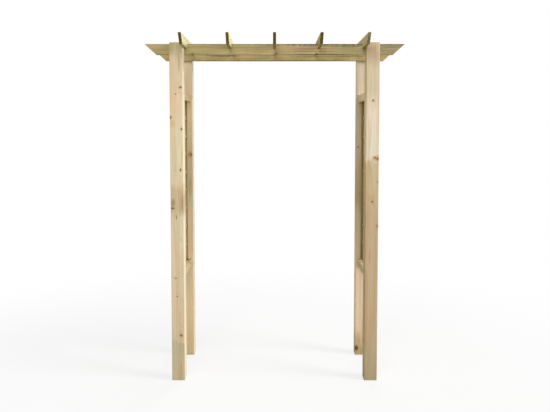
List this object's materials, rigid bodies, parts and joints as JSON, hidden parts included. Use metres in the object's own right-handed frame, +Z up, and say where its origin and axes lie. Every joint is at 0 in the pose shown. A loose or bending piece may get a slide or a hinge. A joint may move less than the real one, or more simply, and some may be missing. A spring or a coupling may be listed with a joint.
{
  "type": "garden arch",
  "caption": "Freestanding timber garden arch: square posts carry long slant-ended beams, notched rafters cross over them, and trellis panels held between rails close the two sides of the walk-through.",
  "frame": {"origin": "on the ground in the middle of the arch, at the centre of the bottom of its box", "axes": "+Z up, +Y through the arch from front to back, +X across it from the left posts to the right posts"},
  "size_m": [1.8, 1.05, 2.377],
  "materials": {
    "post_timber": "planed, pressure treated, pale with a slight green cast",
    "beam_timber": "planed, pressure treated, olive tan",
    "rafter_timber": "planed, pressure treated, olive tan",
    "frame_timber": "planed, pressure treated",
    "lattice_timber": "sawn slats, pressure treated",
    "fixing_steel": "zinc plated countersunk screws, set in the boards"
  },
  "bodies": {
    "root": {"front_left_post": "post_timber", "front_right_post": "post_timber", "back_left_post": "post_timber", "back_right_post": "post_timber", "front_beam": "beam_timber", "back_beam": "beam_timber", "rafter_1": "rafter_timber", "rafter_2": "rafter_timber", "rafter_3": "rafter_timber", "rafter_4": "rafter_timber", "rafter_5": "rafter_timber", "left_top_rail": "frame_timber", "left_bottom_rail": "frame_timber", "left_front_stile": "frame_timber", "left_back_stile": "frame_timber", "left_lattice": "lattice_timber", "right_top_rail": "frame_timber", "right_bottom_rail": "frame_timber", "right_front_stile": "frame_timber", "right_back_stile": "frame_timber", "right_lattice": "lattice_timber"}
  },
  "joints": []
}
